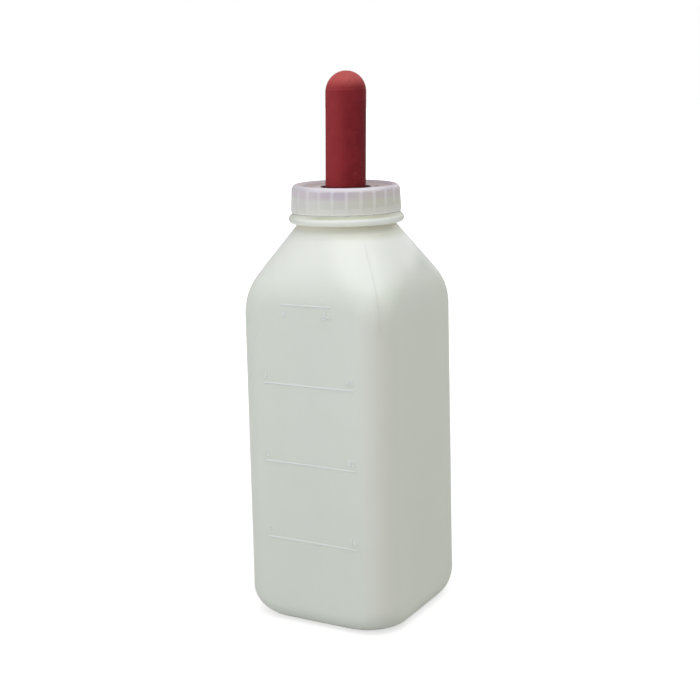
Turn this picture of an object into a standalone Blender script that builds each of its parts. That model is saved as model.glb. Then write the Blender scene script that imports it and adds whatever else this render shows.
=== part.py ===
"""Livestock nursing bottle: a square blow-moulded bottle, a ribbed screw cap and a rubber nipple.

Metres, +Z up. The bottle stands on Z = 0 with its axis on the Z axis. The graduated wall faces -Y.
"""
import math

import bmesh
import bpy
from mathutils import Vector

MM = 0.001

# Bottle body: a rounded square that tapers a little from its base to its shoulder
BODY_HALF_WIDTH = 51.9 * MM
BODY_TAPER = 0.7 * MM
CORNER_RADIUS = 18.6 * MM
BODY_WALL = 1.5 * MM
BASE_FILLET_FACE = 11.9 * MM
BASE_FILLET_CORNER = 18.0 * MM
STANDING_RING_WIDTH = 6.0 * MM
PUSH_UP = 5.0 * MM

# Shoulder: where each profile turns in towards the neck, and how softly
SHOULDER_HEIGHT_FACE = 213.1 * MM
SHOULDER_HEIGHT_CORNER = 203.9 * MM
SHOULDER_FILLET_FACE = 43.4 * MM
SHOULDER_FILLET_CORNER = 34.8 * MM
NECK_BASE_HEIGHT = 243.7 * MM
NECK_FILLET = 3.7 * MM

# Neck and its bead
NECK_RADIUS = 30.1 * MM
NECK_WALL = 2.0 * MM
NECK_STEP = 0.85 * MM
BEAD_REACH = 5.15 * MM
BEAD_RADIUS = 2.65 * MM
BEAD_LEDGE = 2.3 * MM
LIP_ROUND = 0.6 * MM

# Screw cap
CAP_HEIGHT = 16.75 * MM
CAP_WALL = 1.6 * MM
CAP_TAPER = 0.8 * MM
CAP_EDGE_ROUND = 2.7 * MM
CAP_EDGE_BEVEL = 0.6 * MM
CAP_BEAD_GAP = 1.4 * MM
THREAD_SPACE = 1.7 * MM
RIM_WIDTH = 5.2 * MM
RIM_SLOPE = 3.4 * MM
DISC_RECESS = 1.8 * MM
DISC_THICKNESS = 1.6 * MM
RIB_COUNT = 24
RIB_WIDTH = 1.8 * MM
RIB_HEIGHT = 0.45 * MM
HOLE_CLEARANCE = 3.1 * MM
AIR_HOLE_RADIUS = 1.0 * MM
AIR_HOLE_OFFSET = 3.4 * MM
AIR_HOLE_ANGLE = 29.0

# Rubber nipple
TEAT_RADIUS = 12.3 * MM
TEAT_LENGTH = 70.7 * MM
TEAT_WALL = 3.0 * MM
TEAT_ROOT_FILLET = 2.6 * MM
TIP_HOLE_RADIUS = 1.2 * MM
FLANGE_THICKNESS = 2.0 * MM
FLANGE_ROUND = 0.4 * MM
FLANGE_AIR_HOLE_RADIUS = 0.8 * MM

# Gap between seated pieces
SEAT_GAP = 0.3 * MM

# Fineness of the facets
FACE_COLUMNS = 8
CORNER_COLUMNS = 8
CAP_COLUMNS = 72
NIPPLE_COLUMNS = 48

# Heights that follow from the sizes above
BEAD_HEIGHT = NECK_BASE_HEIGHT + NECK_STEP + BEAD_RADIUS
SKIRT_BOTTOM = BEAD_HEIGHT + BEAD_RADIUS + CAP_BEAD_GAP
LEDGE_HEIGHT = SKIRT_BOTTOM - SEAT_GAP
DISC_UNDERSIDE = CAP_HEIGHT - DISC_RECESS - DISC_THICKNESS
FLANGE_BOTTOM = SKIRT_BOTTOM + DISC_UNDERSIDE - SEAT_GAP - FLANGE_THICKNESS
LIP_HEIGHT = FLANGE_BOTTOM - SEAT_GAP

# Radii that follow from them
SKIRT_INNER_RADIUS = NECK_RADIUS + THREAD_SPACE
SKIRT_OUTER_RADIUS = SKIRT_INNER_RADIUS + CAP_WALL
HOLE_RADIUS = TEAT_RADIUS + HOLE_CLEARANCE
AIR_HOLE_CIRCLE = HOLE_RADIUS + AIR_HOLE_OFFSET


def clear_scene():
    for obj in list(bpy.data.objects):
        bpy.data.objects.remove(obj, do_unlink=True)


def make_material(name, color, roughness):
    material = bpy.data.materials.new(name)
    material.use_nodes = True
    shader = material.node_tree.nodes["Principled BSDF"]
    shader.inputs["Base Color"].default_value = (*color, 1.0)
    shader.inputs["Roughness"].default_value = roughness
    shader.inputs["Metallic"].default_value = 0.0
    return material


def make_object(name, bm, material=None, height=0.0):
    """Turn a bmesh into a smooth-shaded object whose origin is on the bottle's axis."""
    bmesh.ops.recalc_face_normals(bm, faces=bm.faces)
    mesh = bpy.data.meshes.new(name)
    bm.to_mesh(mesh)
    bm.free()
    mesh.shade_smooth()
    mesh.set_sharp_from_angle(angle=math.radians(35))
    obj = bpy.data.objects.new(name, mesh)
    obj.location.z = height
    bpy.context.collection.objects.link(obj)
    if material:
        mesh.materials.append(material)
    return obj


def arc(centre, radius, start, end, steps):
    """Points (r, z) on an arc, by angles in degrees, both ends included."""
    points = []
    for i in range(steps + 1):
        angle = math.radians(start + (end - start) * i / steps)
        points.append((centre[0] + radius * math.cos(angle), centre[1] + radius * math.sin(angle)))
    return points


def round_corners(corners, radii, steps=12):
    """A profile (r, z) through corners, each inner corner rounded with its own radius."""
    points = [Vector(corners[0])]
    for before, corner, after, radius in zip(corners, corners[1:], corners[2:], radii):
        corner = Vector(corner)
        back = (Vector(before) - corner).normalized()
        ahead = (Vector(after) - corner).normalized()
        half = back.angle(ahead) / 2
        reach = radius / math.tan(half)
        centre = corner + (back + ahead).normalized() * (radius / math.sin(half))
        first = corner + back * reach - centre
        turn = first.angle_signed(corner + ahead * reach - centre)
        for i in range(steps + 1):
            angle = -turn * i / steps
            spoke = Vector((first.x * math.cos(angle) - first.y * math.sin(angle),
                            first.x * math.sin(angle) + first.y * math.cos(angle)))
            points.append(centre + spoke)
    points.append(Vector(corners[-1]))
    return points


def radius_at(profile, height):
    """Radius of a rising profile at a height."""
    for low, high in zip(profile, profile[1:]):
        if height <= high.y:
            share = (height - low.y) / (high.y - low.y)
            return low.x + (high.x - low.x) * share
    return profile[-1].x


def inward(corners, walls):
    """Corners of a profile moved inward, each of its runs by its own wall."""
    runs = []
    for low, high, wall in zip(corners, corners[1:], walls):
        low, high = Vector(low), Vector(high)
        along = (high - low).normalized()
        shift = Vector((-along.y, along.x)) * wall
        runs.append((low + shift, along))
    moved = [runs[0][0]]
    for (p, u), (q, v) in zip(runs, runs[1:]):
        gap = q - p
        t = (gap.x * v.y - gap.y * v.x) / (u.x * v.y - u.y * v.x)
        moved.append(p + u * t)
    last_start, last_along = runs[-1]
    moved.append(last_start + last_along * (Vector(corners[-1]) - Vector(corners[-2])).length)
    return moved


def diagonal(half_width, corner_radius):
    """Half the diagonal of a rounded square."""
    return half_width * math.sqrt(2) - corner_radius * (math.sqrt(2) - 1)


def section_radius(angle, half_width, half_diagonal):
    """Distance from the axis to a rounded square, which is a circle when both halves are equal."""
    angle = abs((angle + math.pi / 4) % (math.pi / 2) - math.pi / 4)
    corner = (half_width * math.sqrt(2) - half_diagonal) / (math.sqrt(2) - 1)
    centre = half_width - corner
    if math.tan(angle) * half_width <= centre:
        return half_width / math.cos(angle)
    reach = centre * (math.cos(angle) + math.sin(angle))
    return reach + math.sqrt(reach * reach - 2 * centre * centre + corner * corner)


def section_angles():
    """Angles of the columns round the bottle, closer together at the four corners."""
    turn = math.atan2(BODY_HALF_WIDTH - CORNER_RADIUS, BODY_HALF_WIDTH)
    angles = []
    for quarter in range(4):
        middle = quarter * math.pi / 2
        for i in range(FACE_COLUMNS):
            angles.append(middle - turn + 2 * turn * i / FACE_COLUMNS)
        for i in range(CORNER_COLUMNS):
            angles.append(middle + turn + (math.pi / 2 - 2 * turn) * i / CORNER_COLUMNS)
    return angles


def skin(bm, rings, closed_ends):
    """Bridge rings of vertices in order, and close the two ends, each with a fan to a pole."""
    loops = [[bm.verts.new(point) for point in ring] for ring in rings]
    for lower, upper in zip(loops, loops[1:]):
        count = len(lower)
        for i in range(count):
            j = (i + 1) % count
            bm.faces.new((lower[i], lower[j], upper[j], upper[i]))
    for loop, height in zip((loops[0], loops[-1]), closed_ends):
        pole = bm.verts.new((0, 0, height))
        for i in range(len(loop)):
            bm.faces.new((loop[i], loop[(i + 1) % len(loop)], pole))


def turned(bm, profile, columns):
    """Turn a closed profile (r, z) round the axis."""
    loops = []
    for i in range(columns):
        angle = 2 * math.pi * i / columns
        loops.append([bm.verts.new((r * math.cos(angle), r * math.sin(angle), z)) for r, z in profile])
    for here, there in zip(loops, loops[1:] + loops[:1]):
        count = len(profile)
        for i in range(count):
            j = (i + 1) % count
            bm.faces.new((here[i], there[i], there[j], here[j]))


def base_stations(half_width, half_diagonal, fillet_face, fillet_corner, floor):
    """Sections from near the middle of the base, over the standing ring, up its rounded edge."""
    stations = []
    ring_face = half_width - fillet_face
    ring_corner = half_diagonal - fillet_corner
    dome_face = ring_face - STANDING_RING_WIDTH
    dome_corner = ring_corner - STANDING_RING_WIDTH
    for share in (0.4, 0.7, 0.88, 1.0):
        stations.append((dome_face * share, dome_corner * share, floor + PUSH_UP * (1 - share ** 3)))
    stations.append((ring_face, ring_corner, floor))
    top = max(fillet_face, fillet_corner)
    for i in range(1, 7):
        rise = top * (1 - math.cos(math.pi / 2 * i / 6))
        sections = []
        for half, fillet in ((half_width, fillet_face), (half_diagonal, fillet_corner)):
            left = max(fillet - rise, 0.0)
            sections.append(half - fillet + math.sqrt(fillet * fillet - left * left))
        stations.append((*sections, floor + rise))
    return stations


def shoulder_corners():
    """Corners of the face profile and of the corner profile, from the base to the neck."""
    top_half_width = BODY_HALF_WIDTH - BODY_TAPER
    neck = [(NECK_RADIUS, NECK_BASE_HEIGHT), (NECK_RADIUS, LIP_HEIGHT)]
    face = [(BODY_HALF_WIDTH, 0.0), (top_half_width, SHOULDER_HEIGHT_FACE)] + neck
    corner = [(diagonal(BODY_HALF_WIDTH, CORNER_RADIUS), 0.0),
              (diagonal(top_half_width, CORNER_RADIUS), SHOULDER_HEIGHT_CORNER)] + neck
    return face, corner


def wall_stations(face, corner, low, high, steps):
    """Sections up the wall and over the shoulder, closer together where the profiles bend."""
    bend = min(SHOULDER_HEIGHT_FACE, SHOULDER_HEIGHT_CORNER) - SHOULDER_FILLET_CORNER / 2
    heights = [low + (bend - low) * i / 2 for i in (1, 2)]
    heights += [bend + (high - bend) * i / steps for i in range(1, steps + 1)]
    return [(radius_at(face, z), radius_at(corner, z), z) for z in heights]


def bottle_stations():
    """Sections (half width, half diagonal, height) over the outside and down the inside."""
    face_corners, corner_corners = shoulder_corners()
    face = round_corners(face_corners, (SHOULDER_FILLET_FACE, NECK_FILLET))
    corner = round_corners(corner_corners, (SHOULDER_FILLET_CORNER, NECK_FILLET))
    walls = (BODY_WALL, BODY_WALL, NECK_WALL)
    inner_face = round_corners(inward(face_corners, walls),
                               (SHOULDER_FILLET_FACE - BODY_WALL, NECK_FILLET + BODY_WALL))
    inner_corner = round_corners(inward(corner_corners, walls),
                                 (SHOULDER_FILLET_CORNER - BODY_WALL, NECK_FILLET + BODY_WALL))
    bore = NECK_RADIUS - NECK_WALL

    outside = base_stations(face[0].x, corner[0].x, BASE_FILLET_FACE, BASE_FILLET_CORNER, 0.0)
    outside += wall_stations(face, corner, outside[-1][2], NECK_BASE_HEIGHT + NECK_STEP, 18)
    bead = arc((NECK_RADIUS + BEAD_REACH - BEAD_RADIUS, BEAD_HEIGHT), BEAD_RADIUS, -90, 45, 7)
    neck = bead + [(NECK_RADIUS + BEAD_LEDGE, LEDGE_HEIGHT), (NECK_RADIUS, LEDGE_HEIGHT)]
    neck += arc((NECK_RADIUS - LIP_ROUND, LIP_HEIGHT - LIP_ROUND), LIP_ROUND, 0, 90, 2)
    neck += arc((bore + LIP_ROUND, LIP_HEIGHT - LIP_ROUND), LIP_ROUND, 90, 180, 2)
    outside += [(r, r, z) for r, z in neck]

    inside = base_stations(inner_face[0].x, inner_corner[0].x, BASE_FILLET_FACE - BODY_WALL,
                           BASE_FILLET_CORNER - BODY_WALL, BODY_WALL)
    inside += wall_stations(inner_face, inner_corner, inside[-1][2], NECK_BASE_HEIGHT + NECK_STEP, 14)
    return outside + inside[::-1]


def make_bottle():
    bm = bmesh.new()
    angles = section_angles()
    rings = []
    for half_width, half_diagonal, height in bottle_stations():
        ring = []
        for angle in angles:
            radius = section_radius(angle, half_width, half_diagonal)
            ring.append((radius * math.cos(angle), radius * math.sin(angle), height))
        rings.append(ring)
    skin(bm, rings, (PUSH_UP, PUSH_UP + BODY_WALL))
    return make_object("bottle", bm, make_material("bottle_plastic", (0.80, 0.84, 0.78), 0.38))


def skirt_radius(height, at_bottom):
    """Radius of a drafted skirt surface at a height in the cap."""
    return at_bottom - CAP_TAPER * height / CAP_HEIGHT


def dish_slope(crest_radius, steps):
    """Points (r, z) of the soft slope from the rim's crest down to the disc, without its first."""
    points = []
    for i in range(1, steps + 1):
        drop = DISC_RECESS * (1 - math.cos(math.pi * i / steps)) / 2
        points.append((crest_radius - RIM_SLOPE * i / steps, CAP_HEIGHT - drop))
    return points


def cap_profile():
    """Closed profile of the cap, clockwise from the skirt's outer edge over the top to its inside."""
    edge_height = CAP_HEIGHT - CAP_EDGE_ROUND
    edge_radius = skirt_radius(edge_height, SKIRT_OUTER_RADIUS)
    crest_radius = edge_radius - CAP_EDGE_ROUND
    disc_top = CAP_HEIGHT - DISC_RECESS
    channel_top = CAP_HEIGHT - DISC_THICKNESS
    channel_inner = edge_radius - RIM_WIDTH + CAP_WALL
    profile = [(SKIRT_OUTER_RADIUS - CAP_EDGE_BEVEL, 0.0),
               (skirt_radius(CAP_EDGE_BEVEL, SKIRT_OUTER_RADIUS), CAP_EDGE_BEVEL)]
    profile += arc((crest_radius, edge_height), CAP_EDGE_ROUND, 0, 90, 6)
    profile += dish_slope(crest_radius, 6)
    profile += [(HOLE_RADIUS, disc_top), (HOLE_RADIUS, DISC_UNDERSIDE)]
    profile += [(channel_inner, DISC_UNDERSIDE), (channel_inner, channel_top)]
    profile += [(skirt_radius(channel_top, SKIRT_INNER_RADIUS), channel_top)]
    profile += [(skirt_radius(CAP_EDGE_BEVEL, SKIRT_INNER_RADIUS), CAP_EDGE_BEVEL)]
    profile += [(SKIRT_INNER_RADIUS + CAP_EDGE_BEVEL / 2, 0.0)]
    return profile


def make_ribs():
    """The grip ribs, one convex bar each, sunk into the skirt and run out below the rounded edge."""
    bm = bmesh.new()
    low = CAP_EDGE_BEVEL
    high = CAP_HEIGHT - CAP_EDGE_ROUND
    run_out = high + RIB_WIDTH / 2
    sink = CAP_WALL / 2
    for i in range(RIB_COUNT):
        angle = 2 * math.pi * i / RIB_COUNT
        out = Vector((math.cos(angle), math.sin(angle), 0))
        side = Vector((-math.sin(angle), math.cos(angle), 0))
        points = []
        for height, rise, width in ((low, RIB_HEIGHT, RIB_WIDTH / 2), (high, RIB_HEIGHT, RIB_WIDTH / 2),
                                    (low, -sink, RIB_WIDTH), (run_out, -sink, RIB_WIDTH),
                                    (low, RIB_HEIGHT / 2, RIB_WIDTH * 0.85),
                                    (high, RIB_HEIGHT / 2, RIB_WIDTH * 0.85)):
            reach = skirt_radius(height, SKIRT_OUTER_RADIUS) + rise
            for way in (-0.5, 0.5):
                points.append(bm.verts.new(out * reach + side * way * width + Vector((0, 0, height))))
        bmesh.ops.convex_hull(bm, input=points)
    ribs = make_object("rib_bars", bm, height=SKIRT_BOTTOM)
    hide_tool(ribs)
    return ribs


def hide_tool(obj):
    obj.hide_render = True
    obj.display_type = "WIRE"


def apply_boolean(obj, tool, operation):
    modifier = obj.modifiers.new(operation.lower(), "BOOLEAN")
    modifier.object = tool
    modifier.operation = operation
    modifier.solver = "EXACT"


def make_air_hole_tool(name, radius, low, high):
    """A round cutter through a disc, at the air hole's place."""
    angle = math.radians(AIR_HOLE_ANGLE)
    bm = bmesh.new()
    bmesh.ops.create_cone(bm, cap_ends=True, segments=12, radius1=radius, radius2=radius, depth=high - low)
    middle = Vector((AIR_HOLE_CIRCLE * math.cos(angle), AIR_HOLE_CIRCLE * math.sin(angle), (low + high) / 2))
    bmesh.ops.translate(bm, verts=bm.verts, vec=middle)
    tool = make_object(name, bm)
    hide_tool(tool)
    return tool


def make_cap():
    bm = bmesh.new()
    turned(bm, cap_profile(), CAP_COLUMNS)
    cap = make_object("cap", bm, make_material("cap_plastic", (0.80, 0.79, 0.80), 0.42), SKIRT_BOTTOM)
    apply_boolean(cap, make_ribs(), "UNION")
    disc_bottom = SKIRT_BOTTOM + DISC_UNDERSIDE
    disc_top = disc_bottom + DISC_THICKNESS
    margin = DISC_THICKNESS / 2
    hole = make_air_hole_tool("cap_air_hole", AIR_HOLE_RADIUS, disc_bottom - margin, disc_top + margin)
    apply_boolean(cap, hole, "DIFFERENCE")
    return cap


def nipple_profile():
    """Closed profile of the nipple in its own frame, from the bore over the flange and up the teat."""
    channel_top = CAP_HEIGHT - DISC_THICKNESS
    flange_lift = DISC_UNDERSIDE - SEAT_GAP - FLANGE_THICKNESS
    rim_top = channel_top - flange_lift - SEAT_GAP
    flange_radius = skirt_radius(channel_top, SKIRT_INNER_RADIUS) - SEAT_GAP
    edge_radius = skirt_radius(CAP_HEIGHT - CAP_EDGE_ROUND, SKIRT_OUTER_RADIUS)
    rim_inner = edge_radius - RIM_WIDTH + CAP_WALL + SEAT_GAP
    tip = FLANGE_THICKNESS + TEAT_LENGTH
    bore = TEAT_RADIUS - TEAT_WALL
    dome = tip - TEAT_RADIUS
    tip_angle = math.degrees(math.acos(TIP_HOLE_RADIUS / TEAT_RADIUS))
    inner_tip_angle = math.degrees(math.acos(TIP_HOLE_RADIUS / bore))

    profile = [(bore, 0.0), (flange_radius - FLANGE_ROUND, 0.0), (flange_radius, FLANGE_ROUND)]
    profile += [(flange_radius, rim_top - FLANGE_ROUND), (flange_radius - FLANGE_ROUND, rim_top)]
    profile += [(rim_inner, rim_top), (rim_inner, FLANGE_THICKNESS)]
    root = (TEAT_RADIUS + TEAT_ROOT_FILLET, FLANGE_THICKNESS + TEAT_ROOT_FILLET)
    profile += arc(root, TEAT_ROOT_FILLET, 270, 180, 4)
    profile += arc((0.0, dome), TEAT_RADIUS, 0, tip_angle, 10)
    profile += arc((0.0, dome), bore, inner_tip_angle, 0, 8)
    return profile


def make_nipple():
    bm = bmesh.new()
    turned(bm, nipple_profile(), NIPPLE_COLUMNS)
    rubber = make_material("nipple_rubber", (0.36, 0.05, 0.06), 0.55)
    nipple = make_object("nipple", bm, rubber, FLANGE_BOTTOM)
    margin = FLANGE_THICKNESS / 2
    hole = make_air_hole_tool("flange_air_hole", FLANGE_AIR_HOLE_RADIUS, FLANGE_BOTTOM - margin,
                              FLANGE_BOTTOM + FLANGE_THICKNESS + margin)
    apply_boolean(nipple, hole, "DIFFERENCE")
    return nipple


def main():
    clear_scene()
    make_bottle()
    make_cap()
    make_nipple()


main()
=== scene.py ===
import math

import bmesh
import bpy
from mathutils import Matrix, Vector


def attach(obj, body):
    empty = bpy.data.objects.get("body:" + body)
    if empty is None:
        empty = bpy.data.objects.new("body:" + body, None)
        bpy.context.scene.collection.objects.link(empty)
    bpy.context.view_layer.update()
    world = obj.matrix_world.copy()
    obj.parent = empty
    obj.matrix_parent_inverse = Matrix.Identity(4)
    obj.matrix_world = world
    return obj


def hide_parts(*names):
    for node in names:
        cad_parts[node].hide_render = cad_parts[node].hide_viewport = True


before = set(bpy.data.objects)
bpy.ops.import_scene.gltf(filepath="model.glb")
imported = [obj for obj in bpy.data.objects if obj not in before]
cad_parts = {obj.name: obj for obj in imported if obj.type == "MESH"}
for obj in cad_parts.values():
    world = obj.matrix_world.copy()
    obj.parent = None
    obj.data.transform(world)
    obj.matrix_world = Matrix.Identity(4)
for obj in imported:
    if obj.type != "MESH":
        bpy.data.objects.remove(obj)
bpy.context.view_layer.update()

mm = 0.001
scene = bpy.context.scene
print("frame loaded:", ", ".join(sorted(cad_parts)))


# node helpers
def feed(tree, socket, value):
    if isinstance(value, bpy.types.NodeSocket):
        tree.links.new(value, socket)
    else:
        socket.default_value = value


def addNode(tree, kind, inputs=None, **settings):
    node = tree.nodes.new(kind)
    for name, value in settings.items():
        setattr(node, name, value)
    for key, value in (inputs or {}).items():
        feed(tree, node.inputs[key], value)
    return node


def geometry(tree, kind, inputs=None, **settings):
    return addNode(tree, "GeometryNode" + kind, inputs, **settings).outputs[0]


def calc(tree, operation, *values):
    return addNode(tree, "ShaderNodeMath", dict(enumerate(values)), operation=operation).outputs[0]


def times(tree, product, *values):
    for value in values:
        product = calc(tree, "MULTIPLY", product, value)
    return product


def plus(tree, first, second):
    return calc(tree, "ADD", first, second)


def minus(tree, first, second):
    return calc(tree, "SUBTRACT", first, second)


def over(tree, first, second):
    return calc(tree, "DIVIDE", first, second)


def timesPlus(tree, first, second, third):
    return calc(tree, "MULTIPLY_ADD", first, second, third)


def ramp(tree, value, low, high, toLow=0.0, toHigh=1.0):  # a smooth step from low to high
    return addNode(tree, "ShaderNodeMapRange", {0: value, 1: low, 2: high, 3: toLow, 4: toHigh},
                   interpolation_type="SMOOTHSTEP").outputs[0]


def split(tree, vector):
    return addNode(tree, "ShaderNodeSeparateXYZ", {0: vector}).outputs


def join(tree, x, y, z):
    return addNode(tree, "ShaderNodeCombineXYZ", {0: x, 1: y, 2: z}).outputs[0]


def vectorCalc(tree, operation, output, *vectors):
    node = addNode(tree, "ShaderNodeVectorMath", dict(enumerate(vectors)), operation=operation)
    return node.outputs[output]


def noiseOf(tree, vector, size, detail=2.0, roughness=0.5):
    inputs = {"Vector": vector, "Scale": over(tree, 1.0, size), "Detail": detail, "Roughness": roughness}
    return addNode(tree, "ShaderNodeTexNoise", inputs).outputs[0]


def newTree(name, kind, inputs, outputs):
    tree = bpy.data.node_groups.new(name, kind + "NodeTree")
    for way, sockets in (("INPUT", inputs), ("OUTPUT", outputs)):
        for label, sort, *value in sockets:
            socket = tree.interface.new_socket(name=label, in_out=way, socket_type="NodeSocket" + sort)
            if value:
                socket.default_value = value[0]
    return tree, addNode(tree, "NodeGroupInput").outputs


def endTree(tree, **outputs):
    addNode(tree, "NodeGroupOutput", outputs)
    return tree


def pieceTree(name, inputs):
    return newTree(name, "Geometry", inputs + [("Finish", "Material")], [("Piece", "Geometry")])


def markRaised(tree, piece, value):  # the materials paint a highlight on what stands out
    return geometry(tree, "StoreNamedAttribute", {"Geometry": piece, "Name": "raised", "Value": value},
                    data_type="FLOAT", domain="POINT")


def endPieceTree(tree, piece, finish):
    piece = geometry(tree, "RealizeInstances", {"Geometry": piece})
    piece = geometry(tree, "SetMaterial", {"Geometry": piece, "Material": finish})
    return endTree(tree, Piece=piece)


# profiles, in millimetres
def clamp(share):
    return min(1.0, max(0.0, share))


def smooth(share):
    return share * share * (3 - 2 * share)


def arc(centre, radius, start, end, steps):
    points = []
    for i in range(steps + 1):
        angle = math.radians(start + (end - start) * i / steps)
        points.append((centre[0] + radius * math.cos(angle), centre[1] + radius * math.sin(angle)))
    return points


def roundCorners(corners, radii, steps=40):
    points = [Vector(corners[0])]
    for before, corner, after, radius in zip(corners, corners[1:], corners[2:], radii):
        corner = Vector(corner)
        back = (Vector(before) - corner).normalized()
        ahead = (Vector(after) - corner).normalized()
        half = back.angle(ahead) / 2
        centre = corner + (back + ahead).normalized() * (radius / math.sin(half))
        first = corner + back * (radius / math.tan(half)) - centre
        last = corner + ahead * (radius / math.tan(half)) - centre
        turn = first.angle_signed(last)
        for i in range(steps + 1):
            points.append(centre + Matrix.Rotation(-turn * i / steps, 2) @ first)
    points.append(Vector(corners[-1]))
    return points


def radiusAt(profile, height):
    for low, high in zip(profile, profile[1:]):
        if height <= high.y:
            return low.x + (high.x - low.x) * (height - low.y) / (high.y - low.y)
    return profile[-1].x


def inward(corners, walls):  # the corners of a profile moved in, each run by its own wall
    runs = []
    for low, high, wall in zip(corners, corners[1:], walls):
        along = (Vector(high) - Vector(low)).normalized()
        runs.append((Vector(low) + Vector((-along.y, along.x)) * wall, along))
    moved = [runs[0][0]]
    for (p, u), (q, v) in zip(runs, runs[1:]):
        gap = q - p
        moved.append(p + u * ((gap.x * v.y - gap.y * v.x) / (u.x * v.y - u.y * v.x)))
    moved.append(runs[-1][0] + runs[-1][1] * (Vector(corners[-1]) - Vector(corners[-2])).length)
    return moved


def spread(points, step):  # the same profile with more points on its long runs
    out = [points[0]]
    for a, b in zip(points, points[1:]):
        count = max(1, math.ceil(math.dist(a, b) / step))
        out += [tuple(p + (q - p) * i / count for p, q in zip(a, b)) for i in range(1, count + 1)]
    return out


def runOn(points, step, *targets):
    points += spread([points[-1], *targets], step)[1:]


def station(half, diagonal, z, **more):
    return {"half": half, "diagonal": diagonal, "z": z, **more}


# the loft: sections along a list of stations
stationValues = ("half", "diagonal", "rib", "thread", "panel")


def makeLoftTree():
    tree, given = pieceTree("sectionLoft", [
        ("Stations", "Geometry"), ("Columns", "Int", 192), ("Crowding", "Float", 0.0),
        ("Crowds", "Int", 4), ("Rib Count", "Int", 24), ("Rib Width", "Float", 0.0018),
        ("Rib Edge", "Float", 0.0004), ("Rib Height", "Float", 0.0), ("Thread Lead", "Float", 0.004233),
        ("Thread Foot", "Float", 0.0), ("Thread Turns", "Float", 1.25), ("Thread Width", "Float", 0.0016),
        ("Thread Flat", "Float", 0.12), ("Thread Run Out", "Float", 0.08), ("Panel Sink", "Float", 0.0),
        ("Panel Reach", "Float", 0.78), ("Wall Waviness", "Float", 0.0), ("Wave Size", "Float", 0.03)])
    stations = given["Stations"]
    rows = geometry(tree, "AttributeDomainSize", {"Geometry": stations})
    grid = geometry(tree, "MeshGrid", {
        "Size X": 1.0, "Size Y": 1.0, "Vertices X": plus(tree, given["Columns"], 1.0), "Vertices Y": rows})
    place = split(tree, geometry(tree, "InputPosition"))
    row = calc(tree, "ROUND", times(tree, plus(tree, place["Y"], 0.5), minus(tree, rows, 1.0)))

    def sample(value):
        return geometry(tree, "SampleIndex", {"Geometry": stations, "Value": value, "Index": row},
                        data_type="FLOAT", domain="POINT")

    found = {}
    for name in stationValues:
        found[name] = sample(geometry(tree, "InputNamedAttribute", {"Name": name}, data_type="FLOAT"))
    height = sample(place["Z"])

    # angle round the axis, crowded at the corners or the ribs
    even = times(tree, plus(tree, place["X"], 0.5), math.tau)
    wave = calc(tree, "SINE", times(tree, even, given["Crowds"]))
    angle = plus(tree, even, over(tree, times(tree, wave, given["Crowding"]), given["Crowds"]))

    # a rounded square, or a circle where half and diagonal are equal
    half = found["half"]
    folded = calc(tree, "ABSOLUTE", calc(tree, "WRAP", angle, math.pi / 4, -math.pi / 4))
    cosine, sine = calc(tree, "COSINE", folded), calc(tree, "SINE", folded)
    corner = minus(tree, times(tree, half, math.sqrt(2)), found["diagonal"])
    corner = over(tree, corner, math.sqrt(2) - 1)
    centre = minus(tree, half, corner)
    reach = times(tree, centre, plus(tree, cosine, sine))
    under = timesPlus(tree, reach, reach, times(tree, corner, corner))
    under = timesPlus(tree, times(tree, centre, -2.0), centre, under)
    bend = plus(tree, reach, calc(tree, "SQRT", calc(tree, "MAXIMUM", under, 0.0)))
    sideways = times(tree, calc(tree, "TANGENT", folded), half)
    onFlat = calc(tree, "COMPARE", sideways, calc(tree, "MINIMUM", sideways, centre), 1e-7)
    radius = plus(tree, times(tree, over(tree, half, cosine), onFlat),
                  times(tree, bend, minus(tree, 1.0, onFlat)))

    # ribs stand out from the skirt
    halfPitch = times(tree, over(tree, math.tau, given["Rib Count"]), 0.5)
    offset = calc(tree, "WRAP", angle, halfPitch, times(tree, halfPitch, -1.0))
    aside = times(tree, calc(tree, "ABSOLUTE", offset), radius)
    ribHalf = times(tree, given["Rib Width"], 0.5)
    onRib = ramp(tree, aside, minus(tree, ribHalf, given["Rib Edge"]), ribHalf, 1, 0)
    onRib = times(tree, onRib, found["rib"])
    radius = timesPlus(tree, onRib, given["Rib Height"], radius)

    # one helical ridge, for a thread on the neck or in the cap
    lead, width, runOut = given["Thread Lead"], given["Thread Width"], given["Thread Run Out"]
    share = over(tree, angle, math.tau)
    climbed = over(tree, minus(tree, height, given["Thread Foot"]), lead)
    turn = plus(tree, share, calc(tree, "ROUND", minus(tree, climbed, share)))
    away = calc(tree, "ABSOLUTE", times(tree, minus(tree, climbed, turn), lead))
    flat = times(tree, width, given["Thread Flat"])
    crest = ramp(tree, away, flat, times(tree, width, 0.5), 1, 0)
    start = ramp(tree, turn, 0.0, runOut)
    stop = ramp(tree, turn, minus(tree, given["Thread Turns"], runOut), given["Thread Turns"], 1, 0)
    ridge = times(tree, crest, start, stop)
    radius = timesPlus(tree, ridge, found["thread"], radius)

    def spotAt(distance):
        return join(tree, times(tree, distance, calc(tree, "COSINE", angle)),
                    times(tree, distance, calc(tree, "SINE", angle)), height)

    # the wide walls sink a little between their corners, and wander a little
    rest = over(tree, sideways, calc(tree, "MAXIMUM", half, 1e-6))
    sunk = times(tree, ramp(tree, rest, 0.0, given["Panel Reach"], 1, 0), given["Panel Sink"])
    waves = noiseOf(tree, spotAt(radius), given["Wave Size"], 1.0)
    sunk = timesPlus(tree, waves, given["Wall Waviness"], sunk)
    radius = minus(tree, radius, times(tree, sunk, found["panel"]))

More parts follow.
